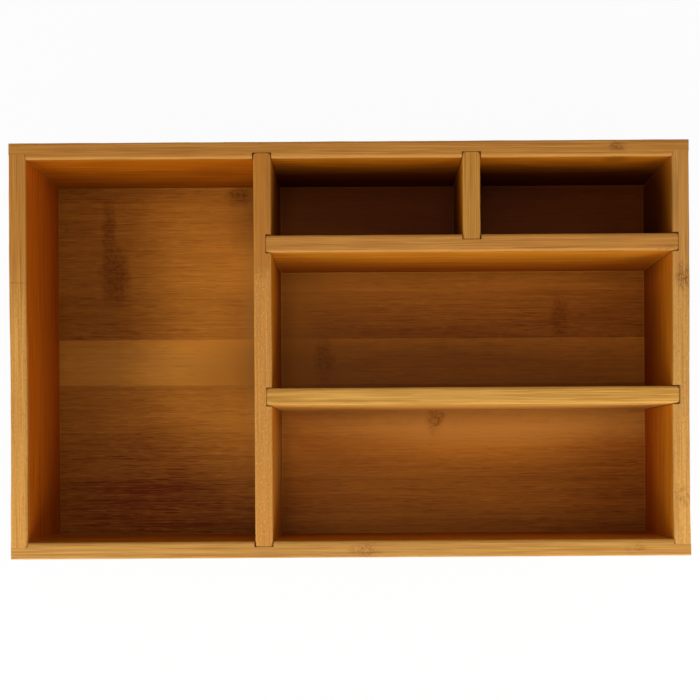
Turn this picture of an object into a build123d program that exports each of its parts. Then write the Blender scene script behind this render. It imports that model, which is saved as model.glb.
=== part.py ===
"""A deep bamboo cutlery tray: four walls, a floor panel and four fixed dividers.

The tray is 380 mm long (X), 232.5 mm from front to back (Y) and 64 mm high (Z).
Its origin is on the surface it stands on, under the middle of its footprint.
+X is to the right, +Y is to the back and +Z is up.

How the real one is built:
- The front and back walls run the whole length. A rebate across each end takes the
  whole thickness of a side wall, so the side walls show their ends only from above.
- The floor panel lies in a groove ploughed round the inside of the four walls, a
  little above their lower edges, so that the walls carry the tray.
- Each divider stands on the floor panel and ends in two housings, which are cut from
  the top edge down to the floor. Each divider is let into the housings at its full
  thickness, and its rounded top edges run on into them.
- Everything is glued. Nothing moves.
"""

import os

from build123d import *

# Overall size.
tray_length = 380.0
tray_depth = 232.5
tray_height = 64.0

# The boards.
wall_thickness = 9.5
divider_thickness = 10.0
panel_thickness = 5.0

# The bays, measured clear between the boards. The back bays take what is left.
left_bay_length = 127.0
front_bay_depth = 75.4
middle_bay_depth = 75.4
small_bay_share = 0.5

# How deep the joints are let into the board that carries them.
rebate_depth = 3.0
housing_depth = 3.0
groove_depth = 3.0
panel_lift = 3.0

# Room for glue, on each side of a board in its joint.
glue_gap = 0.2

# Edges that are rounded over before the tray is put together.
inner_rim_round = 1.8
outer_rim_round = 1.2
divider_rim_round = 1.8
divider_end_round = 0.9
sanded_edge = 0.5

# How far a cutting block runs past the face that it opens.
overrun = 1.0

# Heights and lengths that follow from the values above.
floor_height = panel_lift + panel_thickness
inner_length = tray_length - 2 * wall_thickness
inner_depth = tray_depth - 2 * wall_thickness
left_inside = -inner_length / 2
right_inside = inner_length / 2
front_inside = -inner_depth / 2
back_inside = inner_depth / 2

# Where each divider's two faces are.
main_left = left_inside + left_bay_length
main_right = main_left + divider_thickness
front_divider_front = front_inside + front_bay_depth
front_divider_back = front_divider_front + divider_thickness
back_divider_front = front_divider_back + middle_bay_depth
back_divider_back = back_divider_front + divider_thickness
right_part_length = right_inside - main_right
short_left = main_right + small_bay_share * (right_part_length - divider_thickness)
short_right = short_left + divider_thickness


def block(x_low, x_high, y_low, y_high, z_low, z_high):
    """A block between two values on each axis."""
    size = (x_high - x_low, y_high - y_low, z_high - z_low)
    place = Pos((x_low + x_high) / 2, (y_low + y_high) / 2, (z_low + z_high) / 2)
    return place * Box(*size)


def edges_at(solid, along, **places):
    """The straight edges that run along one axis, at the places given for the others."""
    found = solid.edges().filter_by(along)
    for name, place in places.items():
        found = [e for e in found if abs(getattr(e.center(), name) - place) < sanded_edge / 2]
    return ShapeList(found)


def housing_across_x(face, into, low, high):
    """The space of a housing in a face that looks along X, for a board from low to high in Y."""
    deep = face + into * (housing_depth + glue_gap)
    open_side = face - into * overrun
    x_low, x_high = sorted((deep, open_side))
    y_low, y_high = low - glue_gap, high + glue_gap
    return block(x_low, x_high, y_low, y_high, floor_height, tray_height + overrun)


def housing_across_y(face, into, low, high):
    """The space of a housing in a face that looks along Y, for a board from low to high in X."""
    deep = face + into * (housing_depth + glue_gap)
    open_side = face - into * overrun
    y_low, y_high = sorted((deep, open_side))
    x_low, x_high = low - glue_gap, high + glue_gap
    return block(x_low, x_high, y_low, y_high, floor_height, tray_height + overrun)


def panel_groove():
    """The groove round the inside of the walls, as the space that the floor panel slips into."""
    reach = groove_depth + glue_gap
    return block(
        left_inside - reach,
        right_inside + reach,
        front_inside - reach,
        back_inside + reach,
        panel_lift,
        floor_height + glue_gap,
    )


def round_long_wall(wall, inside, outside):
    """Rounds the rim of a front or back wall, whose faces are at inside and outside in Y."""
    wall = fillet(edges_at(wall, Axis.X, Y=inside, Z=tray_height), inner_rim_round)
    wall = fillet(edges_at(wall, Axis.X, Y=outside, Z=tray_height), outer_rim_round)
    wall = fillet(edges_at(wall, Axis.X, Y=outside, Z=0), sanded_edge)
    return fillet(edges_at(wall, Axis.Z, Y=outside), sanded_edge)


def long_wall(side):
    """The front wall (side -1) or the back wall (side 1), with a rebate across each end."""
    outside = side * tray_depth / 2
    inside = side * inner_depth / 2
    y_low, y_high = sorted((outside, inside))
    wall = block(-tray_length / 2, tray_length / 2, y_low, y_high, 0, tray_height)
    wall = round_long_wall(wall, inside, outside)
    shoulder = inside + side * rebate_depth
    y_low, y_high = sorted((inside - side * overrun, shoulder))
    for end in (-1, 1):
        x_low, x_high = sorted((
            end * (inner_length / 2 - glue_gap),
            end * (tray_length / 2 + overrun),
        ))
        wall -= block(x_low, x_high, y_low, y_high, -overrun, tray_height + overrun)
    wall -= panel_groove()
    return wall - housing_across_y(inside, side, main_left, main_right)


def front_wall():
    """The long wall that faces the user, housed once, for the main divider."""
    return long_wall(-1)


def back_wall():
    """The far long wall, housed for the main divider and for the short one."""
    return long_wall(1) - housing_across_y(back_inside, 1, short_left, short_right)


def side_wall(side):
    """The left wall (side -1) or the right wall (side 1), between the rebates of the long walls."""
    outside = side * tray_length / 2
    inside = side * inner_length / 2
    x_low, x_high = sorted((outside, inside))
    y_end = inner_depth / 2 + rebate_depth
    wall = block(x_low, x_high, -y_end, y_end, 0, tray_height)
    wall = fillet(edges_at(wall, Axis.Y, X=inside, Z=tray_height), inner_rim_round)
    wall = fillet(edges_at(wall, Axis.Y, X=outside, Z=tray_height), outer_rim_round)
    wall = fillet(edges_at(wall, Axis.Y, X=outside, Z=0), sanded_edge)
    return wall - panel_groove()


def left_wall():
    """The wall of the large bay. No divider ends in it."""
    return side_wall(-1)


def right_wall():
    """The wall that carries the right ends of the two long dividers."""
    wall = side_wall(1)
    wall -= housing_across_x(right_inside, 1, front_divider_front, front_divider_back)
    return wall - housing_across_x(right_inside, 1, back_divider_front, back_divider_back)


def floor_panel():
    """The panel that lies on the lower side of the groove, with room for glue at its edges."""
    half_length = inner_length / 2 + groove_depth
    half_depth = inner_depth / 2 + groove_depth
    return block(-half_length, half_length, -half_depth, half_depth, panel_lift, floor_height)


def divider(along, x_low, x_high, y_low, y_high):
    """A divider that runs along an axis, with both rim edges and its upright corners rounded."""
    board = block(x_low, x_high, y_low, y_high, floor_height, tray_height)
    board = fillet(board.edges().filter_by(Axis.Z), divider_end_round)
    rim = [e for e in board.edges().filter_by(along) if e.center().Z > tray_height - sanded_edge]
    return fillet(rim, divider_rim_round)


def main_divider():
    """The divider from the front wall to the back wall, housed for the two long dividers."""
    y_end = inner_depth / 2 + housing_depth
    board = divider(Axis.Y, main_left, main_right, -y_end, y_end)
    board -= housing_across_x(main_right, -1, front_divider_front, front_divider_back)
    return board - housing_across_x(main_right, -1, back_divider_front, back_divider_back)


def long_divider(y_low, y_high):
    """A divider from the main divider to the right wall."""
    x_low = main_right - housing_depth
    x_high = right_inside + housing_depth
    return divider(Axis.X, x_low, x_high, y_low, y_high)


def front_long_divider():
    """The divider between the front bay and the middle bay."""
    return long_divider(front_divider_front, front_divider_back)


def back_long_divider():
    """The divider behind the middle bay, housed at its back for the short divider."""
    board = long_divider(back_divider_front, back_divider_back)
    return board - housing_across_y(back_divider_back, -1, short_left, short_right)


def short_divider():
    """The divider between the two small bays at the back."""
    y_low = back_divider_back - housing_depth
    y_high = back_inside + housing_depth
    return divider(Axis.Y, short_left, short_right, y_low, y_high)


PARTS = {
    "front_wall": front_wall,
    "back_wall": back_wall,
    "left_wall": left_wall,
    "right_wall": right_wall,
    "floor_panel": floor_panel,
    "main_divider": main_divider,
    "front_long_divider": front_long_divider,
    "back_long_divider": back_long_divider,
    "short_divider": short_divider,
}


def main():
    """Writes one STEP file for each board."""
    os.makedirs("parts", exist_ok=True)
    for name, make in PARTS.items():
        export_step(make(), f"parts/{name}.step")


main()
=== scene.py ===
# %% [markdown]
# # A deep bamboo cutlery tray
#
# The real tray is nine boards of pressed bamboo, glued into a box with five bays.
# Bamboo stems are split, planed into flat strips, dyed brown by steam and pressed
# edge to edge into boards. The boards are sawn, grooved, rounded along the rim,
# glued together and lacquered. This lesson makes each board as its own mesh and
# gives it the fibres, stem joints and worn rim of the real wood.

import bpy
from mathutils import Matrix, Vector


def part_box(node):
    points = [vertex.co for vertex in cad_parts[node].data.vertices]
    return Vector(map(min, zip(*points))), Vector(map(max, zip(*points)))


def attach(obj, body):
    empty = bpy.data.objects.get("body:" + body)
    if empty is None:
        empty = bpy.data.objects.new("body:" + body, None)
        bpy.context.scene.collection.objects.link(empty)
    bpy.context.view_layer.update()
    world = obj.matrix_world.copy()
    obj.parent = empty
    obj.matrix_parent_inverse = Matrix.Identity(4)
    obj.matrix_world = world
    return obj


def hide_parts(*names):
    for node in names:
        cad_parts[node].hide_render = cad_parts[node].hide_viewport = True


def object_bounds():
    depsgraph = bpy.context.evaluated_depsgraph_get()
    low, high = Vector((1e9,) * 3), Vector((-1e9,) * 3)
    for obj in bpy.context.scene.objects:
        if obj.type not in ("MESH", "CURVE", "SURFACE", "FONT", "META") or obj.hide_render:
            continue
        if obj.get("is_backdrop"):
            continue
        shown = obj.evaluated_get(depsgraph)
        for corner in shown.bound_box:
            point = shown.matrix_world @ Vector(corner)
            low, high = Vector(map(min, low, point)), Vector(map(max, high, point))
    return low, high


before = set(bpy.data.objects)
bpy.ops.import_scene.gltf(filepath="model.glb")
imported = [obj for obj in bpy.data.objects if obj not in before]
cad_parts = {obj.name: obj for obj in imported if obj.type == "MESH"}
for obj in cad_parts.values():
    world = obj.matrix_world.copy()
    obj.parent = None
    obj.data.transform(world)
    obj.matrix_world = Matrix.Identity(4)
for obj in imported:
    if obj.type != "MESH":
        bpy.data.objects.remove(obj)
cad_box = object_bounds()
print("boards in the frame:", ", ".join(sorted(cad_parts)))

# %% [markdown]
# ## Units
#
# Blender works in metres here and a joiner in millimetres, so every size is written
# in millimetres and multiplied by MM once, when a mesh or a lamp is made.

# %% Tools and units
import math

import bpy
import bmesh
import numpy as np

MM = 0.001


def reach(node):
    """Lowest and highest corner of a board, in millimetres, as two arrays."""
    low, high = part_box(node)
    return np.array(low) / MM, np.array(high) / MM


for node in sorted(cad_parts):
    low, high = reach(node)
    print(f"{node:20s} from {low.round(1)} to {high.round(1)}")

# %% [markdown]
# ## The section of a board
#
# A board is planed to one section and then cut to length, so its mesh is a section
# carried along a line. The section is a closed row of points (across, up). A wall
# has a groove for the floor panel, a larger round on its inner rim and a smaller one
# outside. A divider is rounded the same on both sides. A point close beside each
# round keeps the flat face flat when the normals are smoothed.

# %% Sizes and edges
RIM = 64.0  # height of every rim
WALL = 9.5  # thickness of a wall
DIVIDER = 10.0  # thickness of a divider
PANEL_UNDER = 3.0  # heights of the floor panel's faces
PANEL_TOP = 8.0
GLUE = 0.2  # room for glue beside each joint
GROOVE = 3.2  # depth of the groove for the panel
HOUSED = 3.05  # depth of a housing
SEAM = 0.35  # width of the glue line's stain
BESIDE = 0.3  # from a round to the point that keeps the face flat
FACE_HEIGHTS = np.array([20.0, 32.0, 44.0, 54.0, 59.0])  # rows of points on a face


def quarter(across, up, radius, start):
    """A quarter circle: centre plus radius times (cos a, sin a), a from start to start + 90."""
    a = np.radians(start + np.linspace(0, 90, 7))
    return np.column_stack((across + radius * np.cos(a), up + radius * np.sin(a)))


def upright(across, heights):
    """A face as points at one value across and at each of the heights."""
    return np.column_stack((np.full(len(heights), across), heights))


def level(up, places):
    """A level edge as points at one height and at each of the places across."""
    return np.column_stack((places, np.full(len(places), up)))


print("a round is drawn with", len(quarter(0, 0, 1, 0)), "points")


# %% Sections
def wall_section(thick, inner_round=1.8, outer_round=1.2, sanded=0.5):
    """Outer foot, underside, grooved inner face, rounded rim and outer face, in that order."""
    lip = PANEL_TOP + GLUE
    rise = np.concatenate(([lip, lip + 0.4], FACE_HEIGHTS, [RIM - inner_round - BESIDE]))
    fall = np.concatenate((
        [RIM - outer_round - BESIDE], FACE_HEIGHTS[::-1], [PANEL_TOP, sanded + BESIDE],
    ))
    cheek = thick - HOUSED
    return np.vstack((
        quarter(sanded, sanded, sanded, 180),
        level(0, [sanded + BESIDE, thick - BESIDE, thick]),
        upright(thick, [PANEL_UNDER]),
        upright(thick - GROOVE, [PANEL_UNDER, lip]),
        upright(thick, rise),
        quarter(thick - inner_round, RIM - inner_round, inner_round, 0),
        level(RIM, [
            thick - inner_round - BESIDE, cheek, cheek - SEAM, thick / 2, outer_round + BESIDE,
        ]),
        quarter(outer_round, RIM - outer_round, outer_round, 90),
        upright(0, fall),
    ))


def divider_section(thick, rounding=1.8):
    """Underside, one face, rounded rim, other face, joined in that order."""
    rise = np.concatenate(([PANEL_TOP + BESIDE], FACE_HEIGHTS, [RIM - rounding - BESIDE]))
    cheek = thick - HOUSED
    return np.vstack((
        level(PANEL_TOP, [0, thick / 2, thick]),
        upright(thick, rise),
        quarter(thick - rounding, RIM - rounding, rounding, 0),
        level(RIM, [
            thick - rounding - BESIDE, cheek, cheek - SEAM, thick / 2, rounding + BESIDE,
        ]),
        quarter(rounding, RIM - rounding, rounding, 90),
        upright(0, rise[::-1]),
    ))


print("points in the sections:", len(wall_section(WALL)), len(divider_section(DIVIDER)))

# %% [markdown]
# ## Stations along a board
#
# The section is copied at stations along the board. Where another board is let in,
# the inner face steps back: two stations at the same place, one before the cut and
# one in it, make the crisp cheek of the housing. The mouth of a housing is a little
# softened, as sandpaper leaves it, by a small quarter circle.

# %% Stations
STEP = 3.0  # between two stations
MOUTH = 0.12  # radius of a softened mouth
REBATED = 3.0  # depth of the rebate at a long wall's end
NEAR_END = np.array([0.0, 0.03, 0.12, 0.28, 0.5, 0.7, 0.9])
FIRST = 1.2  # where the even stations begin


def plain(start, stop):
    """Evenly spaced stations between two places, about a step apart, with no cut."""
    count = max(2, int(abs(stop - start) / STEP) + 1)
    return np.column_stack((np.linspace(start, stop, count), np.zeros((count, 2))))


def housing(low, high):
    """Stations of a housing: a softened mouth, the cut from low to high, a softened mouth."""
    a = np.radians([0, 30, 60, 90])
    before, depth = MOUTH * (np.sin(a) - 1), MOUTH * (1 - np.cos(a))
    mouth = np.column_stack((before, depth, np.full(len(a), PANEL_TOP)))
    into = mouth + [low, 0, 0]
    out = mouth[::-1] * [-1, 1, 1] + [high, 0, 0]
    return np.vstack((into, [[low, HOUSED, PANEL_TOP], [high, HOUSED, PANEL_TOP]], out))


def stations(length, housings=(), rebate=0.0):
    """Rows of (place along, depth cut back, height where the cut starts), from end to end."""
    count = len(NEAR_END)
    cut = REBATED if rebate else 0.0
    at_end = np.column_stack((NEAR_END, np.full(count, cut), np.full(count, -1.0)))
    rows = [at_end]
    here = FIRST
    if rebate:
        rows.append([[rebate, REBATED, -1]])
        here = rebate
    for low, high in sorted(housings):
        rows += [plain(here, low - SEAM), housing(low, high)]
        here = high + SEAM
    rows.append(plain(here, length - (rebate or FIRST)))
    if rebate:
        rows.append([[length - rebate, REBATED, -1]])
    rows.append(at_end[::-1] * [-1, 1, 1] + [length, 0, 0])
    return np.vstack(rows)


print("stations of a plain 200 mm board:", len(stations(200)))

# %% [markdown]
# ## Carrying the section along
#
# Each point of the mesh is the section's point at a station. It is pushed back where
# a cut is, squeezed towards the middle at a rounded end, and moved by a fraction of a
# millimetre near the rim, because the rim of the real tray was sanded by hand and
# isn't quite straight.

# %% Sanding by hand
SANDED_OFF = 0.16  # the most that sanding took off an arris
# Phase and length of each wave of the sanding.
WAVES = ((1.7, 83.0), (2.9, 47.0), (4.3, 29.0))


def settle(places, values, at):
    """A smooth line through a few values: half a cosine wave between each two of them."""
    places, values = np.array(places), np.array(values)
    k = np.clip(np.searchsorted(places, at) - 1, 0, len(places) - 2)
    t = np.clip((at - places[k]) / (places[k + 1] - places[k]), 0, 1)
    return values[k] + (values[k + 1] - values[k]) * (1 - np.cos(np.pi * t)) / 2


def hand_sanded(along, seed):
    """How far sanding lowered the arrises, 0 to 0.16 mm: three slow waves, added."""
    waves = sum(np.sin(2 * np.pi * along / span + seed * k) for k, span in WAVES)
    return SANDED_OFF * (0.5 + waves / 6)


print("sanded off at the front wall's end:", hand_sanded(0, 1.0).round(3), "mm")

# %% A board's mesh
LEAN_FROM = 24.0  # a rim leans above this height, more and more over LEAN_OVER
LEAN_OVER = 36.0
SANDED_TOP = 4.0  # how far down the sanding is felt
SAME_POINT = 0.004  # points closer than this become one
NO_LENGTH = 0.002  # edges shorter than this go


def carry(section, rows, thick, end_round, over_end, seed, drift=None):
    """A grid of points (along, across, up): row i is the section at station i.

    Near an end the section is squeezed from each side by r less the square root of (r
    squared less g squared), where r is end_round and g is what is left of it. The rim
    is rolled over in the same way by over_end. Sanding moves the arrises in and the top
    millimetre down by half as much. drift is a function of the place along that leans
    the rim over, times a smooth step over its height.
    """
    along = np.repeat(rows[:, :1], len(section), axis=1)
    across = np.repeat(section[None, :, 0], len(rows), axis=0)
    up = np.repeat(section[None, :, 1], len(rows), axis=0)
    length = rows[-1, 0]
    near_end = np.minimum(along, length - along)
    gone = np.clip(end_round - near_end, 0, end_round)
    squeeze = end_round - np.sqrt(np.maximum(end_round**2 - gone**2, 0))
    across = thick / 2 + (across - thick / 2) * (1 - 2 * squeeze / thick)
    rolled = np.clip(over_end - near_end, 0, over_end)
    up = np.minimum(up, RIM - over_end + np.sqrt(np.maximum(over_end**2 - rolled**2, 0)))
    lowered = hand_sanded(along, seed)
    high = np.clip((up - RIM + SANDED_TOP) / SANDED_TOP, 0, 1)
    across = across + lowered * high * (thick / 2 - across) / (thick / 2)
    up = up - 0.5 * lowered * (up > RIM - 1)
    if drift is not None:
        near_rim = np.clip((up - LEAN_FROM) / LEAN_OVER, 0, 1)
        across = across + drift(along) * near_rim * near_rim * (3 - 2 * near_rim)
    cut, start = rows[:, 1:2], rows[:, 2:3]
    held = (cut > 0) & (up > start)
    across = np.where(held, np.minimum(across, thick - cut), across)
    return along, across, up


def grid_mesh(name, along, across, up):
    """A closed skin over the grid: the columns joined in a ring, and both ends capped."""
    n, m = along.shape
    index = np.arange(n * m).reshape(n, m)
    a, b = index[:-1], index[1:]
    faces = np.stack((a, b, np.roll(b, -1, axis=1), np.roll(a, -1, axis=1)), axis=-1).reshape(-1, 4)
    points = np.column_stack((along.ravel(), across.ravel(), up.ravel()))
    mesh = bpy.data.meshes.new(name)
    caps = [index[0].tolist(), index[-1][::-1].tolist()]
    mesh.from_pydata(points.tolist(), [], faces.tolist() + caps)
    return mesh


def mend(mesh):
    """Merges points that a cut has brought together and turns every face outwards."""
    work = bmesh.new()
    work.from_mesh(mesh)
    bmesh.ops.remove_doubles(work, verts=work.verts, dist=SAME_POINT)
    bmesh.ops.dissolve_degenerate(work, edges=work.edges, dist=NO_LENGTH)
    bmesh.ops.recalc_face_normals(work, faces=work.faces)
    work.to_mesh(mesh)
    work.free()


grid = carry(wall_section(WALL), stations(200), WALL, 0, 0, seed=1)
print("points on a 200 mm wall:", grid[0].size)

# %% [markdown]
# ## Placing a board
#
# A board runs along X or Y, and its thickness is counted from its outer face inwards.
# Its place comes from the frame, so the mesh lies where the solid board lies. LAID
# says of each board which way it runs, whether its outer face is the low one (1) or
# the high one (-1), and its seed.

# %% From plank to place
LAID = {
    "front_wall": ("x", 1, 1.0), "back_wall": ("x", -1, 2.0),
    "left_wall": ("y", 1, 3.0), "right_wall": ("y", -1, 4.0),
    "main_divider": ("y", 1, 5.0), "front_long_divider": ("x", 1, 6.0),
    "back_long_divider": ("x", 1, 7.0), "short_divider": ("y", 1, 8.0),
}


def axes(node):
    """The numbers of the axis a board runs along and of the one it is thin along."""
    return (0, 1) if LAID[node][0] == "x" else (1, 0)


def plank_to_place(points, node):
    """(along, across, up) to (x, y, z): along grows with X or Y, across from the outer face in."""
    low, high = reach(node)
    run, side = axes(node)
    inwards = LAID[node][1]
    out = np.empty_like(points)
    out[:, run] = low[run] + points[:, 0]
    out[:, side] = low[side] + points[:, 1] if inwards > 0 else high[side] - points[:, 1]
    out[:, 2] = points[:, 2]
    return out


print("boards along X:", ", ".join(node for node in LAID if axes(node)[0] == 0))

# %% [markdown]
# ## What the material has to know
#
# Values kept at every point of a mesh tell the material where it is. Here grain is the place in the
# plank (along, across, up), rim is 1 on the sanded rim, arris is 1 on its worn, rounded corners,
# which carry a pale painted highlight, end is 1 where the sawn fibres show and seam is 1 at a glue
# line. They stay with the points, so nothing has to be unwrapped.

# %% Values for the wood
RIM_FROM = 2.4  # below the top the rim's tone begins, and is whole at RIM_FULL
RIM_FULL = 1.2
ARRIS_AT = 0.65
ARRIS_HALF = 0.6
END_SKIN = 0.02  # a point this close to a board's end is on it
SEED_ALONG = 530.0  # how far apart in the noises two planks lie, both ways
SEED_ACROSS = 37.0


def read_points(mesh):
    """The mesh's points as an array with three columns."""
    flat = np.empty(len(mesh.vertices) * 3)
    mesh.vertices.foreach_get("co", flat)
    return flat.reshape(-1, 3)


def keep(mesh, name, kind, values):
    """Stores one value at each point of the mesh, for the material to read."""
    kept = mesh.attributes.new(name, kind, "POINT")
    field = "vector" if kind == "FLOAT_VECTOR" else "value"
    kept.data.foreach_set(field, values.astype(np.float32).ravel())


def plank_values(mesh, plank, length, seed):
    """Stores the grain, moved by the seed so that no two planks match, and the rim's values.

    rim rises from 0 to 1 between 2.4 and 1.2 mm below the top. arris is 1 about 0.65 mm
    below it and falls to 0 within 0.72 mm. end is 1 on the sawn ends.
    """
    along, below = plank[:, 0], RIM - plank[:, 2]
    moved = plank + [seed * SEED_ALONG, seed * SEED_ACROSS, 0]
    sawn = (along < END_SKIN) | (along > length - END_SKIN)
    keep(mesh, "grain", "FLOAT_VECTOR", moved * MM)
    keep(mesh, "rim", "FLOAT", np.clip((RIM_FROM - below) / (RIM_FROM - RIM_FULL), 0, 1))
    keep(mesh, "arris", "FLOAT", np.clip(1.2 - np.abs(ARRIS_AT - below) / ARRIS_HALF, 0, 1))
    keep(mesh, "end", "FLOAT", sawn * 1.0)


def keep_seams(mesh, plank, length, thick, housings, own_ends):
    """Stores the glue line: 1 at a housing's edge or the board's let-in end, 0 beyond SEAM."""
    along, across = plank[:, 0], plank[:, 1]
    gap = np.minimum(along, length - along) if own_ends else np.full(len(plank), length)
    for low, high in housings:
        beside = np.maximum(np.maximum(low - along, along - high), 0)
        behind = np.maximum(thick - HOUSED - across, 0)
        gap = np.minimum(gap, np.hypot(beside, behind))
    keep(mesh, "seam", "FLOAT", np.clip(1 - gap / SEAM, 0, 1))


print("the rim's tone begins", RIM_FROM, "mm below the top")

# %% [markdown]
# ## How deep in a bay
#
# In the photograph the wood gets darker and redder deeper in a bay, more than the lamps of this
# scene alone would make it. So the shade is painted: two more values say whether a point is inside
# a bay and how much shelter it has there, and the material goes from a face tone to a darker,
# redder painted shade tone with it.

# %% Shelter
BOARD_DEPTH = 4.2  # powers of the depth in a bay
PANEL_DEPTH = 1.8
BAY_EDGE = 0.6  # how far into its boards a bay is taken to reach


def bays():
    """The five bays as low x, high x, low y, high y, from the faces of the boards round them."""
    front, back = reach("front_wall")[1][1], reach("back_wall")[0][1]
    left, right = reach("left_wall")[1][0], reach("right_wall")[0][0]
    main, short = reach("main_divider"), reach("short_divider")
    low_cross, high_cross = reach("front_long_divider"), reach("back_long_divider")
    return (
        (left, main[0][0], front, back),
        (main[1][0], right, front, low_cross[0][1]),
        (main[1][0], right, low_cross[1][1], high_cross[0][1]),
        (main[1][0], short[0][0], high_cross[1][1], back),
        (short[1][0], right, high_cross[1][1], back),
    )


def shelter(points, power):
    """How deep each point lies in its bay, from 0 to 1, and whether it is in a bay.

    The open share is the product, over the bay's two widths w, of 1 / (1 + (depth / w)
    squared), and the depth is 1 less that share to a power.
    """
    x, y, depth = points[:, 0], points[:, 1], np.clip(RIM - points[:, 2], 0, RIM)
    open_share = np.ones(len(points))
    in_a_bay = np.zeros(len(points), bool)
    for x0, x1, y0, y1 in bays():
        between_sides = (x > x0 - BAY_EDGE) & (x < x1 + BAY_EDGE)
        inside = between_sides & (y > y0 - BAY_EDGE) & (y < y1 + BAY_EDGE)
        share = 1 / (1 + (depth / (x1 - x0)) ** 2) / (1 + (depth / (y1 - y0)) ** 2)
        open_share = np.where(inside, share, open_share)
        in_a_bay |= inside
    return 1 - open_share**power, in_a_bay * 1.0


def keep_shelter(mesh, points, power):
    """Stores how deep each point lies in its bay, and whether it is in a bay at all."""
    depth, inside = shelter(points, power)
    keep(mesh, "shelter", "FLOAT", depth)
    keep(mesh, "inside", "FLOAT", inside)


print("bays in mm:", [f"{x1 - x0:.0f} x {y1 - y0:.0f}" for x0, x1, y0, y1 in bays()])

# %% [markdown]
# ## One board
#
# One function makes all eight upright boards, which differ in section, cuts and ends.
# A long wall's ends are rounded over at the rim, a divider's have round upright
# corners, and a side wall's are hidden by the long walls.

# %% One board
WALL_END = 0.5  # rounds at a board's ends: upright corners, and over the rim
WALL_OVER_END = 1.2
DIVIDER_END = 0.9
CREASE = math.radians(38)  # edges sharper than this aren't smoothed


def new_object(name, data):
    """An object made from its data and put into the scene."""
    made = bpy.data.objects.new(name, data)
    bpy.context.scene.collection.objects.link(made)
    return made


def board(node, section, rows, cuts, end_round=0.0, over_end=0.0, drift=None):
    """One board: its section carried along, put in its place and standing for its CAD node."""
    low, high = reach(node)
    run, side = axes(node)
    _, inwards, seed = LAID[node]
    thick = (high - low)[side]
    length = rows[-1, 0]
    mesh = grid_mesh(node + "_skin", *carry(section, rows, thick, end_round, over_end, seed, drift))
    mend(mesh)
    plank = read_points(mesh)
    plank_values(mesh, plank, length, seed)
    keep_seams(mesh, plank, length, thick, cuts, end_round == DIVIDER_END)
    placed = plank_to_place(plank, node)
    keep_shelter(mesh, placed, BOARD_DEPTH)
    mesh.vertices.foreach_set("co", (placed * MM).ravel())
    if (run == 0) != (inwards > 0):
        mesh.flip_normals()
    mesh.set_sharp_from_angle(angle=CREASE)
    mesh.update()
    piece = new_object(node + "_board", mesh)
    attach(piece, "root")
    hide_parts(node)
    return piece


print("round of a divider's corners:", DIVIDER_END, "mm")

# %% [markdown]
# ## The four walls
#
# The front and back walls run the whole length, and a rebate across each end takes
# the side walls. The side walls carry the long dividers on the right. The rims of the
# two side walls wander by up to half a millimetre, as the photograph shows, so each
# gets a few values for how far its rim leans in along its length.

# %% Walls
def across_ends(node, carrier):
    """Where a board crosses the one that carries it, along the carrier, with room for glue."""
    run = axes(carrier)[0]
    low, high = reach(node)
    start = reach(carrier)[0][run]
    return low[run] - start - GLUE, high[run] - start + GLUE


def lean(places, values):
    """A function of the place along a side wall: how far its rim leans in, in millimetres."""
    return lambda along: settle(places, values, along)


LEFT_LEAN = lean([0, 20, 60, 105, 130, 190, 219], [0.0, 0.1, 0.4, 0.35, 0.0, 0.0, 0.1])
RIGHT_LEAN = lean([0, 30, 80, 120, 150, 180, 219], [0.1, 0.4, 0.4, 0.1, 0.0, 0.0, 0.1])


def span_of(node):
    """Length of a board along its run."""
    low, high = reach(node)
    return (high - low)[axes(node)[0]]


walls = {}
rebate = reach("left_wall")[1][0] - reach("left_wall")[0][0] + GLUE
for node, guests in (
    ("front_wall", ["main_divider"]),
    ("back_wall", ["main_divider", "short_divider"]),
):
    cuts = [across_ends(guest, node) for guest in guests]
    rows = stations(span_of(node), cuts, rebate)
    walls[node] = board(node, wall_section(WALL), rows, cuts, WALL_END, WALL_OVER_END)
for node, guests, drift in (
    ("left_wall", [], LEFT_LEAN),
    ("right_wall", ["front_long_divider", "back_long_divider"], RIGHT_LEAN),
):
    cuts = [across_ends(guest, node) for guest in guests]
    rows = stations(span_of(node), cuts)
    walls[node] = board(node, wall_section(WALL), rows, cuts, drift=drift)
print("walls:", {name: len(piece.data.polygons) for name, piece in walls.items()})

# %% [markdown]
# ## The dividers
#
# Each divider is housed at both ends, at its full thickness. Its upright corners are
# rounded by just under a millimetre, and where the round goes into the housing the
# eye sees a small dark notch.

# %% Dividers
dividers = {}
for node, guests in (
    ("main_divider", ["front_long_divider", "back_long_divider"]),
    ("front_long_divider", []),
    ("back_long_divider", ["short_divider"]),
    ("short_divider", []),
):
    cuts = [across_ends(guest, node) for guest in guests]
    rows = stations(span_of(node), cuts)
    dividers[node] = board(node, divider_section(DIVIDER), rows, cuts, DIVIDER_END)
print("dividers:", {name: len(piece.data.polygons) for name, piece in dividers.items()})

# %% [markdown]
# ## The floor panel
#
# The floor is one pressed panel, 5 mm thick, held in the groove all round. Its upper
# face is a grid, so that it can be a few hundredths of a millimetre off flat from
# strip to strip, which breaks up the sheen as it does on the real one.

# %% Floor panel
STRIP = 27.9  # width of a strip
CUPPED = 0.03  # half the depth of a strip's hollow
WAVY = 0.02  # half the height of the slow waves
FLAT_EDGE = 8.0  # the edge in the groove stays flat


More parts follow.
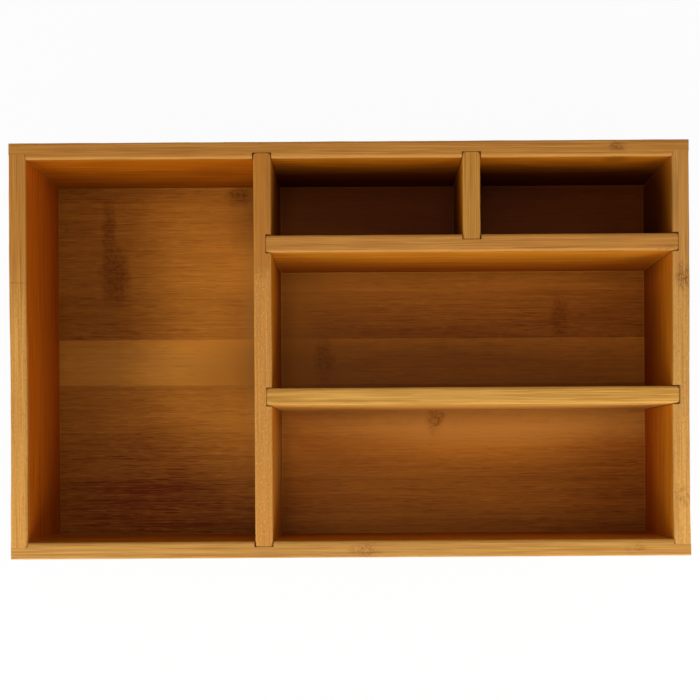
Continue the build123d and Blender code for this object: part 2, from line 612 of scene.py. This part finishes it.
def panel_grid(low, high, step=4.0):
    """Both faces as grids over X and Y.

    The upper one sinks by 0.03 times (1 less a cosine across a strip) plus 0.02 times
    (1 plus a slow sine over both directions), in millimetres, and not at its edges.
    """
    x = np.linspace(low[0], high[0], int((high[0] - low[0]) / step) + 1)
    y = np.linspace(low[1], high[1], int((high[1] - low[1]) / step) + 1)
    gx, gy = np.meshgrid(x, y, indexing="ij")
    cup = CUPPED * (1 - np.cos(2 * np.pi * gy / STRIP))
    cup = cup + WAVY * (1 + np.sin(gx / 21.0 + gy / 13.0))
    edge = np.minimum(np.minimum(gx - x[0], x[-1] - gx), np.minimum(gy - y[0], y[-1] - gy))
    cup = cup * np.clip(edge / FLAT_EDGE, 0, 1)
    return gx, gy, np.full_like(gx, low[2]), high[2] - cup


def panel_piece():
    """Two grids joined round their edge into one closed board."""
    low, high = reach("floor_panel")
    gx, gy, under, over = panel_grid(low, high)
    n, m = gx.shape
    index = np.arange(n * m).reshape(n, m)
    a, b = index[:-1], index[1:]
    top = np.stack((a[:, :-1], b[:, :-1], b[:, 1:], a[:, 1:]), axis=-1).reshape(-1, 4)
    bottom = top[:, ::-1] + n * m
    ring = np.concatenate((
        index[:, 0], index[-1, 1:], index[-2::-1, -1], index[0, -2:0:-1],
    ))
    ahead = np.roll(ring, -1)
    side = np.column_stack((ahead, ring, ring + n * m, ahead + n * m))
    points = np.vstack((
        np.column_stack((gx.ravel(), gy.ravel(), over.ravel())),
        np.column_stack((gx.ravel(), gy.ravel(), under.ravel())),
    ))
    mesh = bpy.data.meshes.new("floor_panel_skin")
    mesh.from_pydata((points * MM).tolist(), [], np.vstack((top, bottom, side)).tolist())
    keep(mesh, "grain", "FLOAT_VECTOR", points * MM)
    for name in ("rim", "arris", "end", "seam"):
        keep(mesh, name, "FLOAT", np.zeros(len(points)))
    keep_shelter(mesh, points, PANEL_DEPTH)
    for face in mesh.polygons:
        face.use_smooth = True
    mesh.set_sharp_from_angle(angle=CREASE)
    piece = new_object("floor_panel_board", mesh)
    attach(piece, "root")
    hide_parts("floor_panel")
    return piece


panel = panel_piece()
print("floor panel faces:", len(panel.data.polygons))

# %% [markdown]
# ## Colours
#
# A colour is written as it would be picked from a screen. Light adds up in linear
# values, so one function turns the written colour to linear.

# %% Colour and node helpers
def linear(text):
    """Screen colour to linear.

    c / 12.92 up to 0.04045, otherwise ((c + 0.055) / 1.055) to the power 2.4.
    """
    c = np.array([int(text[i:i + 2], 16) for i in (1, 3, 5)]) / 255
    lin = np.where(c <= 0.04045, c / 12.92, ((c + 0.055) / 1.055) ** 2.4)
    return (*lin.tolist(), 1.0)


def add(tree, kind, fed=None, out=None, **settings):
    """Adds a node with its settings and returns its named output, or its first one in use.

    fed says what goes into a socket, by its name or number: an output, a value or a
    colour as on a screen.
    """
    node = tree.nodes.new(kind)
    for key, value in settings.items():
        setattr(node, key, value)
    for key, value in (fed or {}).items():
        if isinstance(value, bpy.types.NodeSocket):
            tree.links.new(value, node.inputs[key])
        else:
            node.inputs[key].default_value = linear(value) if isinstance(value, str) else value
    if out:
        return node.outputs[out]
    return next((socket for socket in node.outputs if socket.enabled), None)


print("bamboo brown in linear values:", [round(v, 3) for v in linear("#c98f4a")[:3]])

# %% [markdown]
# ## Pressed bamboo under satin lacquer
#
# Bamboo has no growth rings. Its wood is soft pith with hard, darker fibre bundles
# of 0.3 to 0.7 mm running along the stem, and at every joint of the stem, 200 to
# 300 mm apart, the bundles swirl through a narrow dark band. Steaming has turned it
# honey brown. The material reads the plank's own grain values, so the bundles run
# along every board and go on over the rim. Five noises make the wood: fine bundles,
# bands of some millimetres, slow changes of tone, and sparse dark and pale dashes.
# The bundles are drawn 0.55 to 0.7 mm wide, coarser than the finest real ones, so
# that the picture shows them.

# %% Fibres
def fibres(tree, grain, length, width, low, high, detail=2.0):
    """Noise in cells of a length and width in millimetres; from low to high it fills 0 to 1."""
    scale = (1 / (length * MM), 1 / (width * MM), 1 / (width * MM))
    place = add(tree, "ShaderNodeMapping", {"Vector": grain, "Scale": scale})
    noise = add(tree, "ShaderNodeTexNoise", {"Vector": place, "Scale": 1.0, "Detail": detail})
    return add(tree, "ShaderNodeMapRange", {"Value": noise, "From Min": low, "From Max": high})


def side_of(tree, grain, axis, place, soft):
    """0 before a place along one axis of the grain and 1 after it, blurred by soft millimetres."""
    value = add(tree, "ShaderNodeSeparateXYZ", {0: grain}, out=axis)
    limits = {"From Min": (place - soft) * MM, "From Max": (place + soft) * MM}
    return add(tree, "ShaderNodeMapRange", {"Value": value, **limits})


print("helpers: fibres of any size, and a soft step along the grain")

# %% [markdown]
# ## Stem joints
#
# Where two stretches of the stem met, the bundles cross over in small loops, and each
# flat strip of a board has its own joint, so a mark is never wider than its strip. A
# mark here is a soft dark ellipse with loops in it. The loops are the walls between
# the cells of a Voronoi pattern, 2.6 mm long and 1.6 mm wide, bent by noise.

# %% A stem joint
CELL = (2.6, 1.6, 1.6)  # size of a loop
BEND = 2.8  # the most that noise moves it


def ellipse(tree, grain, centre, half):
    """1 in the middle of an ellipsoid, falling to 0 at its half sizes, all in millimetres."""
    scale = [1 / (h * MM) for h in half]
    shift = [-c / h for c, h in zip(centre, half)]
    place = add(tree, "ShaderNodeMapping", {"Vector": grain, "Scale": scale, "Location": shift})
    far = add(tree, "ShaderNodeVectorMath", {0: place}, operation="LENGTH")
    return add(tree, "ShaderNodeMapRange", {"Value": far, "From Min": 1.0, "From Max": 0.4})


def loops(tree, grain):
    """Short curls: 1 on the walls between bent cells where a noise is high, 0 elsewhere."""
    noise = {"Vector": grain, "Scale": 420.0, "Detail": 2.0}
    stray = add(tree, "ShaderNodeTexNoise", noise, out="Color")
    bent = {0: stray, 1: (BEND * MM,) * 3, 2: grain}
    bent = add(tree, "ShaderNodeVectorMath", bent, operation="MULTIPLY_ADD")
    scale = [1 / (size * MM) for size in CELL]
    place = add(tree, "ShaderNodeMapping", {"Vector": bent, "Scale": scale})
    cells = {"Vector": place, "Scale": 1.0}
    cells = add(tree, "ShaderNodeTexVoronoi", cells, feature="DISTANCE_TO_EDGE")
    edges = add(tree, "ShaderNodeMapRange", {"Value": cells, "From Min": 0.26, "From Max": 0.02})
    broken = fibres(tree, grain, 3.2, 2.6, 0.42, 0.58, 1.0)
    return add(tree, "ShaderNodeMath", {0: edges, 1: broken}, operation="MULTIPLY")


print("a stem joint is an ellipse filled with loops")

# %% [markdown]
# ## The tone of the wood
#
# No two strips of bamboo are alike. A board is one strip wide, so it has one tone, which its long
# fibres vary. The floor panel is nine strips side by side, whose tone steps at each seam. Within a
# strip the wood is paler or darker over a hand's breadth. The patches and the honey-coloured
# stretches laid on that are painted light and painted shade: paler where the lamps fall on the
# floor and the main divider, darker where the floor lies in shade.

# %% The wood's tone
HALF_RAMP = 120.0  # the ramp of tones runs this far to both sides of the middle


def strips_across(tree, grain, strips):
    """A step in tone at each seam between the panel's strips, from rows of (start, tone)."""
    across = add(tree, "ShaderNodeSeparateXYZ", {0: grain}, out=1)
    limits = {"From Min": -HALF_RAMP * MM, "From Max": HALF_RAMP * MM}
    share = add(tree, "ShaderNodeMapRange", {"Value": across, **limits})
    stepped = add(tree, "ShaderNodeValToRGB", {"Fac": share})
    ramp = stepped.node.color_ramp
    ramp.interpolation = "CONSTANT"
    while len(ramp.elements) < len(strips):
        ramp.elements.new(0.5)
    for element, (start, value) in zip(ramp.elements, strips):
        element.position = (start + HALF_RAMP) / (2 * HALF_RAMP)
        element.color = (value, value, value, 1)
    return stepped


def wood_tone(tree, grain, fine, look):
    """From 0, the darkest fibres, to 1, the palest: five noises times their shares, added.

    A patch adds its change in an ellipse, as painted light where it is positive and painted shade
    where it is negative, and a strip adds its tone less a half.
    """
    streaks, dash = look["streaks"], look["dash"]
    tone = look["base"] - 0.5 * streaks
    for noise, share in (
        (fine, 0.50),
        (fibres(tree, grain, 110.0, 2.2, 0.32, 0.68), 0.34),
        (fibres(tree, grain, 120.0, 12.0, 0.3, 0.7), 0.16),
        (fibres(tree, grain, dash, 0.7, 0.60, 0.68, 0.0), -0.40),
        (fibres(tree, grain, 0.8 * dash, 0.65, 0.40, 0.32, 0.0), 0.40),
    ):
        summed = {0: noise, 1: share * streaks, 2: tone}
        tone = add(tree, "ShaderNodeMath", summed, operation="MULTIPLY_ADD")
    for centre, half, change in look["light_and_shade"]:
        spot = ellipse(tree, grain, centre, half)
        tone = add(tree, "ShaderNodeMath", {0: spot, 1: change, 2: tone}, operation="MULTIPLY_ADD")
    if look["strips"]:
        step = strips_across(tree, grain, look["strips"])
        step = add(tree, "ShaderNodeMath", {0: step, 1: 0.5}, operation="SUBTRACT")
        tone = add(tree, "ShaderNodeMath", {0: tone, 1: step}, operation="ADD")
    return tone


print("the tone comes from five noises, the patches and the strips")


# %% The coats of colour
# The pale honey tone of the painted light laid over brightly lit parts of the floor and of the main
# divider's face.
PAINTED_LIGHT_TONE = "#e8b25c"


def wood_colour(tree, plank, tone, coats, look):
    """The rim's wood, with the other tones of the look laid over it, each by its coat's share, and
    painted light in a pale honey tone over its brightly lit spots.
    """
    colour = None
    for part, share in coats:
        dark, light = look[part]
        wood = add(tree, "ShaderNodeMix", {0: tone, 6: dark, 7: light}, data_type="RGBA")
        if colour:
            wood = add(tree, "ShaderNodeMix", {0: share, 6: colour, 7: wood}, data_type="RGBA")
        colour = wood
    for centre, half, share in look["painted_light"]:
        spot = ellipse(tree, plank, centre, half)
        spot = add(tree, "ShaderNodeMath", {0: spot, 1: share}, operation="MULTIPLY")
        colour = add(tree, "ShaderNodeMix", {0: spot, 6: colour, 7: PAINTED_LIGHT_TONE}, data_type="RGBA")
    return colour


def cut_bundles(tree, plank, colour, here):
    """Dark and pale dots, where a rim cuts through bundles that lean out of the board."""
    for spots, shade in (
        (fibres(tree, plank, 2.2, 0.8, 0.58, 0.66, 1.0), "#b46a18"),
        (fibres(tree, plank, 1.5, 0.9, 0.42, 0.33, 1.0), "#f2c47c"),
    ):
        share = add(tree, "ShaderNodeMath", {0: spots, 1: here}, operation="MULTIPLY")
        colour = add(tree, "ShaderNodeMix", {0: share, 6: colour, 7: shade}, data_type="RGBA")
    return colour


def joints_and_painted_shade(tree, plank, colour, look, marks):
    """Each mark as a smear of its shade with loops over it, its outline made ragged by noise. A
    wide mark without loops is painted shade.
    """
    if not marks:
        return colour
    crossing = loops(tree, plank)
    noise = {"Vector": plank, "Scale": 130.0, "Detail": 3.0}
    stray = add(tree, "ShaderNodeTexNoise", noise, out="Color")
    stray = add(tree, "ShaderNodeVectorMath", {0: stray, 1: (0.5,) * 3}, operation="SUBTRACT")
    moved = {0: stray, 1: look["ragged"], 2: plank}
    ragged = add(tree, "ShaderNodeVectorMath", moved, operation="MULTIPLY_ADD")
    for centre, half, loop_share, shade in marks:
        spot = ellipse(tree, ragged, centre, half)
        smear_and_shade = add(tree, "ShaderNodeMath", {0: spot, 1: shade}, operation="MULTIPLY")
        smeared = {0: smear_and_shade, 6: colour, 7: look["smear_and_shade"]}
        colour = add(tree, "ShaderNodeMix", smeared, data_type="RGBA")
        curls = add(tree, "ShaderNodeMath", {0: spot, 1: crossing}, operation="MULTIPLY")
        curls = add(tree, "ShaderNodeMath", {0: curls, 1: loop_share}, operation="MULTIPLY")
        curled = {0: curls, 6: colour, 7: look["curl"]}
        colour = add(tree, "ShaderNodeMix", curled, data_type="RGBA")
    return colour


print("coats of colour: rim, front part, face in a bay, deep in a bay")

# %% [markdown]
# ## Lacquer
#
# A thin satin lacquer lies over the wood. It gives the rims a soft sheen without a mirror image, it
# is duller where it soaked into the paler fibres, and the fibres stand out under it by a few
# hundredths of a millimetre. It is thinner on the faces inside the bays and thinnest on the
# red-brown glue lines. A sawn end shows open pores instead of fibres, and the rounded corners of a
# rim are painted pale: partly wear, partly a painted highlight where the lamps catch the round.

# %% The bamboo itself
# The pale tone on a rim's rounded corners is partly wear and partly a painted highlight.
WEAR_AND_HIGHLIGHT_SHARE = 0.5  # how far a worn corner hides the wood's own tone
GLUE_SHARE = 0.75  # and how far a glue line does
GLUE_TONE = "#6a1c00"
SAWN_DARK = "#96602a"
SAWN_LIGHT = "#c08c4a"


def empty_tree(owner):
    """The node tree of a material or a world, with nothing in it."""
    owner.use_nodes = True
    owner.node_tree.nodes.clear()
    return owner.node_tree


def pressed_bamboo(name, look, marks):
    """Lacquered bamboo, with painted light and painted shade in some of its tones and marks. A look
    has pairs of tones; marks are (centre, half, loops, shade).
    """
    material = bpy.data.materials.new(name)
    tree = empty_tree(material)
    plank = add(tree, "ShaderNodeAttribute", out="Vector", attribute_name="grain")
    sanded, arris, painted_shade_depth, inside, sawn, glue = (
        add(tree, "ShaderNodeAttribute", out="Fac", attribute_name=kept)
        for kept in ("rim", "arris", "shelter", "inside", "end", "seam")
    )
    unsanded = add(tree, "ShaderNodeMath", {0: 1.0, 1: sanded}, operation="SUBTRACT")
    hidden = add(tree, "ShaderNodeMath", {0: inside, 1: unsanded}, operation="MULTIPLY")
    coats = [("rim", None)]
    if look["joint"] is not None:
        behind = side_of(tree, plank, 0, look["joint"], look["soft"])
        front = add(tree, "ShaderNodeMath", {0: 1.0, 1: behind}, operation="SUBTRACT")
        coats.append(("front", front))
    # A face inside a bay takes the face tones, partly painted light; deeper in a bay the painted
    # shade tones take over, by the shelter value.
    coats += [("face", hidden), ("painted_shade", painted_shade_depth)]
    fine = fibres(tree, plank, 30.0, 0.55, 0.36, 0.64)
    tone = wood_tone(tree, plank, fine, look)
    colour = wood_colour(tree, plank, tone, coats, look)
    # Painted highlight with some wear: the rim's rounded corners go partly to the pale arris
    # colour.
    wear_and_highlight = add(tree, "ShaderNodeMath", {0: arris, 1: WEAR_AND_HIGHLIGHT_SHARE}, operation="MULTIPLY")
    colour = add(tree, "ShaderNodeMix", {0: wear_and_highlight, 6: colour, 7: look["arris"]}, data_type="RGBA")
    if look["dots"]:
        here = add(tree, "ShaderNodeMath", {0: front, 1: sanded}, operation="MULTIPLY")
        here = add(tree, "ShaderNodeMath", {0: here, 1: look["dots"]}, operation="MULTIPLY")
        colour = cut_bundles(tree, plank, colour, here)
    colour = joints_and_painted_shade(tree, plank, colour, look, marks)
    pores = fibres(tree, plank, 0.9, 0.9, 0.45, 0.62, 1.0)
    cut = add(tree, "ShaderNodeMix", {0: pores, 6: SAWN_DARK, 7: SAWN_LIGHT}, data_type="RGBA")
    colour = add(tree, "ShaderNodeMix", {0: sawn, 6: colour, 7: cut}, data_type="RGBA")
    glue = add(tree, "ShaderNodeMath", {0: glue, 1: GLUE_SHARE}, operation="MULTIPLY")
    colour = add(tree, "ShaderNodeMix", {0: glue, 6: colour, 7: GLUE_TONE}, data_type="RGBA")
    faded = {"Value": hidden, "To Min": 0.15, "To Max": 0.03}
    gloss = add(tree, "ShaderNodeMapRange", faded)
    bare = add(tree, "ShaderNodeMath", {0: 1.0, 1: glue}, operation="SUBTRACT")
    gloss = add(tree, "ShaderNodeMath", {0: gloss, 1: bare}, operation="MULTIPLY")
    sheen = add(tree, "ShaderNodeMapRange", {"Value": fine, "To Min": 0.40, "To Max": 0.52})
    raised = {"Height": fine, "Strength": 0.35, "Distance": 0.06 * MM}
    relief = add(tree, "ShaderNodeBump", raised)
    skin = add(tree, "ShaderNodeBsdfPrincipled", {
        "Base Color": colour, "Roughness": sheen, "Normal": relief,
        "IOR": 1.5, "Specular IOR Level": gloss,
    })
    add(tree, "ShaderNodeOutputMaterial", {"Surface": skin})
    return material


print("bamboo: five noises for the wood, two for the dots, one for the sawn ends")

# %% [markdown]
# ## Where the joints of the stems and the painted shade show
#
# A mark is a row of its centre in the tray, its half sizes, both in millimetres, how strong its
# loops are and how strong its shade. Its centre is then turned into a place in the plank. On the
# floor panel the two are the same. Wide marks without loops are painted shade: in the small bays,
# and along the edges of the others.

# %% Where the marks are
def in_plank(node, x, y, z):
    """A place in the tray as the grain of the board there, both in millimetres."""
    _, inwards, seed = LAID[node]
    low, high = reach(node)
    run, side = axes(node)
    place = (x, y)
    across = place[side] - low[side] if inwards > 0 else high[side] - place[side]
    return place[run] - low[run] + seed * SEED_ALONG, across + seed * SEED_ACROSS, z


joint = [round(v, 1) for v in in_plank("back_wall", 150, 112, 64)]
print("the joint in the back wall's rim, in its plank:", joint)

# %% Where the joints and the painted shade show
# Rows with no loops (0.0) on the boards are painted shade on faces deep in the bays.
MARKS = {
    "front_wall": [
        ((8, -112, 64), (11, 5, 3), 0.5, 0.05),
        ((159, -112, 64), (8, 5, 3), 0.35, 0.05),
    ],
    "back_wall": [
        ((150, 112, 64), (6, 4, 3), 0.6, 0.15),
        ((150, 107, 58), (9, 3, 6), 0.3, 0.35),
        ((-80, 107, 38), (20, 3, 9), 0.0, 0.2),
    ],
    "left_wall": [((-185, 38, 64), (0.8, 9, 4), 0.2, 0.15)],
    "right_wall": [
        ((186, 40, 64), (10, 5, 3), 0.8, 0.1),
        ((186, -83, 64), (8, 5, 3), 0.4, 0.05),
        ((180, 85, 20), (44, 9, 56), 0.0, 0.8),
        ((180, 16, 8), (50, 9, 44), 0.0, 0.4),
    ],
    "main_divider": [
        ((-51, 42, 64), (4, 7, 4), 0.3, 0.0),
        ((-44, 85, 20), (44, 4, 60), 0.0, 0.4),
    ],
    "front_long_divider": [
        ((171, -16, 64), (9, 4, 3), 0.4, 0.1),
        ((118, -16, 64), (4, 4, 3), 0.3, 0.0),
    ],
    "back_long_divider": [
        ((83, 50, 32), (8, 3, 12), 0.2, 0.2),
        ((178, 55, 64), (8, 3, 3), 0.3, 0.1),
    ],
    "short_divider": [],
}
FLOOR_MARKS = [
    ((-149.5, 82.7, 8), (5.5, 20, 9), 0.6, 0.3),
    ((-146, 53, 8), (11, 23, 9), 0.6, 0.4),
    ((-69.3, 101.5, 8), (9, 7.5, 9), 0.65, 0.3),
    ((-134, -87, 8), (7.5, 18, 9), 0.5, 0.1),
    ((128.6, 26, 8), (7.5, 18, 9), 0.55, 0.2),
    ((-17, 0, 8), (8, 15, 9), 0.45, 0.2),
    ((51, -37, 8), (7, 10, 9), 0.6, 0.2),
    ((-176, 81, 8), (2.5, 2, 9), 0.0, 0.25),
    # Painted shade from here on: the small bays, the left side of the left bay, the front of the
    # middle bay, the floor beside the main divider, the back corners of the small bays, and along
    # the front wall.
    ((68, 92, 8), (170, 44, 9), 0.0, 0.8),
    ((-168, 20, 8), (62, 150, 9), 0.0, 0.4),
    ((60, -10, 8), (190, 32, 9), 0.0, 0.58),
    ((-34, 20, 8), (52, 50, 9), 0.0, 0.3),
    ((-36, 92, 8), (44, 50, 9), 0.0, 0.35),
    ((178, 92, 8), (44, 50, 9), 0.0, 0.4),
    ((60, -106, 8), (220, 18, 9), 0.0, 0.22),
]
# Painted light where the change is positive and painted shade where it is negative, laid over the
# floor's tone.
LIGHT_AND_SHADE_PATCHES = [  # centre, half sizes, change of tone
    ((-62, 40, 8), (78, 130, 9), 0.36),
    ((-48, 40, 8), (40, 130, 9), 0.06),
    ((-112, -104, 8), (110, 70, 9), -0.24),
    ((50, 52, 8), (140, 34, 9), 0.3),
    ((25, -75, 8), (140, 80, 9), 0.22),
    ((90, -42, 8), (130, 26, 9), 0.42),
]
# Painted light: a pale honey tone over brightly lit stretches of the floor.
PAINTED_LIGHT_SPOTS = [  # centre, half sizes, share
    ((90, -37, 8), (150, 19, 9), 0.2),
    ((-130, -2, 8), (90, 17, 9), 0.1),
    ((-55, 20, 8), (14, 105, 9), 0.22),
]
STRIPS = [  # where one starts across the panel, its tone
    (-120, 0.38), (-100, 0.38), (-72, 0.42), (-44.3, 0.50), (-15.2, 0.78),
    (12.3, 0.38), (41.5, 0.50), (69.3, 0.48), (97, 0.40),
]
print("marks on the boards:", sum(len(rows) for rows in MARKS.values()))
print("marks on the floor panel:", len(FLOOR_MARKS))

# %% [markdown]
# ## Nine finishes
#
# PLANK is the common bamboo, and each board changes what is its own: four pairs of tones from dark
# to light fibres (on the rim, on the rim's front part before a stem joint, on a face near the rim,
# which is partly painted light, and the painted shade deep in a bay), base for the middle tone,
# streaks for how far the noises go from it, dash for the length of a dash, joint for where the
# front part ends and soft for how gradually, dots for how strongly cut bundles show, and the
# colours of the arris, which is a pale painted highlight, of a smear, which also paints shade, and
# of a curl. ragged is how far the outline of a mark strays. The front long divider is the palest
# board, its face brightest with painted light, and the darkest painted shade is on the back wall,
# deep in the small bays.

# %% Nine finishes
PLANK = {
    "rim": ("#ae6b25", "#dc9640"), "front": ("#ae6b25", "#dc9640"),
    "face": ("#b8680f", "#e28f22"), "painted_shade": ("#581a02", "#863204"),
    "base": 0.5, "streaks": 0.9, "dash": 45.0, "light_and_shade": [], "strips": None, "painted_light": [],
    "joint": None, "soft": 14.0, "dots": 0.0,
    "arris": "#f0b25c", "smear_and_shade": "#7c3404", "curl": "#7a3404", "ragged": (3 * MM, 2 * MM, 0.0),
}
# Face tones are partly the wood's own tone and partly painted light: on the two long dividers they
# are brighter, and on the left wall redder, as light falls on these faces.
LOOKS = {
    "front_wall": {"rim": ("#aa702c", "#d69e4b")},
    "back_wall": {"face": ("#b05a06", "#da8016"), "painted_shade": ("#340a01", "#521401")},
    "left_wall": {
        "front": ("#ba7b2f", "#ecaa50"),
        "face": ("#b8560a", "#e27c16"), "painted_shade": ("#561000", "#802001"),
        "streaks": 0.7, "dots": 0.25, "joint": 38.0,
    },
    "right_wall": {
        "rim": ("#b67430", "#e6a44f"), "front": ("#bb7e36", "#ecb05a"),
        "painted_shade": ("#701f02", "#a83c04"),
        # Its dark smear colour also paints the shade on its face in the small bay and the middle
        # bay.
        "streaks": 0.7, "dots": 0.3, "joint": 40.0, "smear_and_shade": "#3a1904",
    },
    "main_divider": {
        "rim": ("#a9621a", "#d68a2e"), "front": ("#b57027", "#e69e42"),
        # Its dark smear colour also paints the shade on its face in the small bay.
        "streaks": 0.5, "dots": 0.3, "joint": 44.5, "soft": 2.0, "smear_and_shade": "#3c1001",
        # Painted light on the main divider's face in the front bay.
        "painted_light": [((-43.5, -70, 24), (44.0, 4.0, 44.0), 0.22)],
    },
    # Its very pale face tones are painted light on the brightly lit face under its rim.
    "front_long_divider": {
        "rim": ("#b87a26", "#eaaf50"),
        "face": ("#dc9c3c", "#fcc068"), "painted_shade": ("#a8601c", "#d88c34"), "streaks": 1.1,
    },
    "back_long_divider": {"face": ("#cc7810", "#f69e2c"), "painted_shade": ("#702604", "#a04406")},
    "short_divider": {"rim": ("#b06f24", "#de9b3f"), "painted_shade": ("#401402", "#662404")},
}
for node, piece in {**walls, **dividers}.items():
    look = {**PLANK, **LOOKS[node]}
    if look["joint"] is not None:
        look["joint"] = in_plank(node, 0, look["joint"], 0)[0]
    look["painted_light"] = [(in_plank(node, *centre), *rest) for centre, *rest in look["painted_light"]]
    marks = [(in_plank(node, *centre), *rest) for centre, *rest in MARKS[node]]
    piece.data.materials.append(pressed_bamboo("lacquered_bamboo_" + node, look, marks))
# The floor's face tones are partly painted light, and its smear colour also paints the shade in the
# bays.
PANEL = {
    "face": ("#702902", "#f09f38"), "painted_shade": ("#4c1c02", "#883b06"),
    "base": 0.45, "streaks": 0.3, "dash": 10.0,
    "light_and_shade": LIGHT_AND_SHADE_PATCHES, "strips": STRIPS, "painted_light": PAINTED_LIGHT_SPOTS,
    "smear_and_shade": "#481c03", "curl": "#6a2200", "ragged": (6 * MM, 8 * MM, 0.0),
}
look = {**PLANK, **PANEL}
panel.data.materials.append(pressed_bamboo("lacquered_bamboo_floor_panel", look, FLOOR_MARKS))
print("finishes:", sum(m.name.startswith("lacquered") for m in bpy.data.materials))

# %% [markdown]
# ## The table, the light and the camera
#
# The tray was photographed from straight above on white. The camera is a little
# towards the front edge of the tray, with the picture moved back over it, so that
# upright faces lean away from one point while the rim stays a true rectangle.
#
# Eight softboxes light it: one large one overhead, which makes most of the light on
# the rims, and seven round it, low and high, which give each bay the side that is
# brighter in the photograph. They are all white and soft, so that the wood keeps the
# colours written above, and the air adds a little light from everywhere.

# %% Table
HALF_TABLE = 2.0  # half its width, in metres
SHOWN_WHITE = 0.95  # share of plain white in what the camera sees of it


def seen_straight(tree):
    """1 for what the camera sees, straight or in gloss or glass, 0 for what only sends light."""
    seen = add(tree, "ShaderNodeLightPath", out="Is Camera Ray")
    for way in ("Is Transmission Ray", "Is Glossy Ray"):
        other = add(tree, "ShaderNodeLightPath", out=way)
        seen = add(tree, "ShaderNodeMath", {0: seen, 1: other}, operation="MAXIMUM")
    return seen


def table():
    """A flat square at the height the tray stands on, shown as white but for a small share.

    That share is matt and carries the tray's shadow.
    """
    side = np.array([[-1, -1, 0], [1, -1, 0], [1, 1, 0], [-1, 1, 0]]) * HALF_TABLE
    mesh = bpy.data.meshes.new("table_top")
    mesh.from_pydata(side.tolist(), [], [[0, 1, 2, 3]])
    piece = new_object("table", mesh)
    material = bpy.data.materials.new("white_table")
    tree = empty_tree(material)
    matt = add(tree, "ShaderNodeBsdfDiffuse", {"Color": "#f4f4f4"})
    glow = add(tree, "ShaderNodeEmission", {"Color": "#ffffff", "Strength": 1.0})
    seen = seen_straight(tree)
    seen = add(tree, "ShaderNodeMath", {0: seen, 1: SHOWN_WHITE}, operation="MULTIPLY")
    both = add(tree, "ShaderNodeMixShader", {0: seen, 1: matt, 2: glow})
    add(tree, "ShaderNodeOutputMaterial", {"Surface": both})
    mesh.materials.append(material)
    piece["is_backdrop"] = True


table()
print("the table is", 2 * HALF_TABLE, "metres wide")

# %% Camera
# Found by matching the edges of the rims and of the floor in the photograph.
lens_data = bpy.data.cameras.new("copy_camera")
lens_data.sensor_width = 36.0
lens_data.lens = 48.075
lens_data.shift_x = -0.0309
lens_data.shift_y = 0.1577
camera = new_object("copy_camera", lens_data)
camera.location = (0.0118, -0.06204, 0.585)
camera.rotation_euler = (0, 0, math.radians(-0.36))
bpy.context.scene.camera = camera
print("camera height above the table:", round(camera.location.z * 1000), "mm")

# %% Lamps
LAMP_BASE = 0.05  # the height from which a lamp's elevation is counted
LIT_POINT = (0, 0, 0.03)  # what every lamp shines at


def softbox(name, place, side, power):
    """A square lamp at a place, turned so that it shines at the tray."""
    data = bpy.data.lights.new(name, "AREA")
    data.shape = "RECTANGLE"
    data.size = data.size_y = side
    data.energy = power
    lamp = new_object(name, data)
    lamp.location = place
    way = np.array(LIT_POINT) - np.array(place)
    way = way / np.linalg.norm(way)
    lamp.rotation_euler = (math.acos(-way[2]), 0, math.atan2(-way[0], way[1]))
    lamp.visible_camera = False


def stand(azimuth, elevation, distance):
    """A place at a distance: azimuth from the front to the right, elevation, in degrees."""
    a, e = math.radians(azimuth), math.radians(elevation)
    out = distance * math.cos(e)
    return out * math.sin(a), -out * math.cos(a), LAMP_BASE + distance * math.sin(e)


LAMPS = (
    ("overhead_softbox", (0, 90, 1.25), 0.60, 3.75),
    ("front_softbox", (5, 46, 0.5), 0.22, 0.40),
    ("left_front_softbox", (-45, 18, 0.5), 0.22, 0.67),
    ("right_front_softbox", (48, 18, 0.5), 0.22, 0.88),
    ("left_low_softbox", (-70, 18, 1.1), 0.50, 1.70),
    ("left_softbox", (-70, 46, 1.1), 0.50, 0.67),
    ("left_high_softbox", (-70, 64, 1.1), 0.50, 0.90),
    ("back_right_softbox", (110, 48, 1.3), 0.55, 1.43),
)
for name, where, side, power in LAMPS:
    softbox(name, stand(*where), side, power)
print("softboxes:", len(LAMPS))

# %% Air and backdrop
world = bpy.data.worlds.new("studio_air")
bpy.context.scene.world = world
sky = empty_tree(world)
air = add(sky, "ShaderNodeBackground", {"Color": "#ffffff", "Strength": 0.04})
backdrop = add(sky, "ShaderNodeBackground", {"Color": "#ffffff", "Strength": 1.0})
both = add(sky, "ShaderNodeMixShader", {0: seen_straight(sky), 1: air, 2: backdrop})
add(sky, "ShaderNodeOutputWorld", {"Surface": both})
print("the air lights the tray, and the camera sees white behind it")

# %% [markdown]
# ## The size
#
# The look must not change the tray's size, so the box of the dressed tray is printed beside the box
# of the solid one.

# %% Size and finish
bpy.context.scene.view_settings.view_transform = "Standard"
dressed_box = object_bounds()
boxes = {
    "cad": [list(cad_box[0]), list(cad_box[1])],
    "dressed": [list(dressed_box[0]), list(dressed_box[1])],
}
for name, (low, high) in boxes.items():
    print(name, [round(v * 1000, 2) for v in low], [round(v * 1000, 2) for v in high])
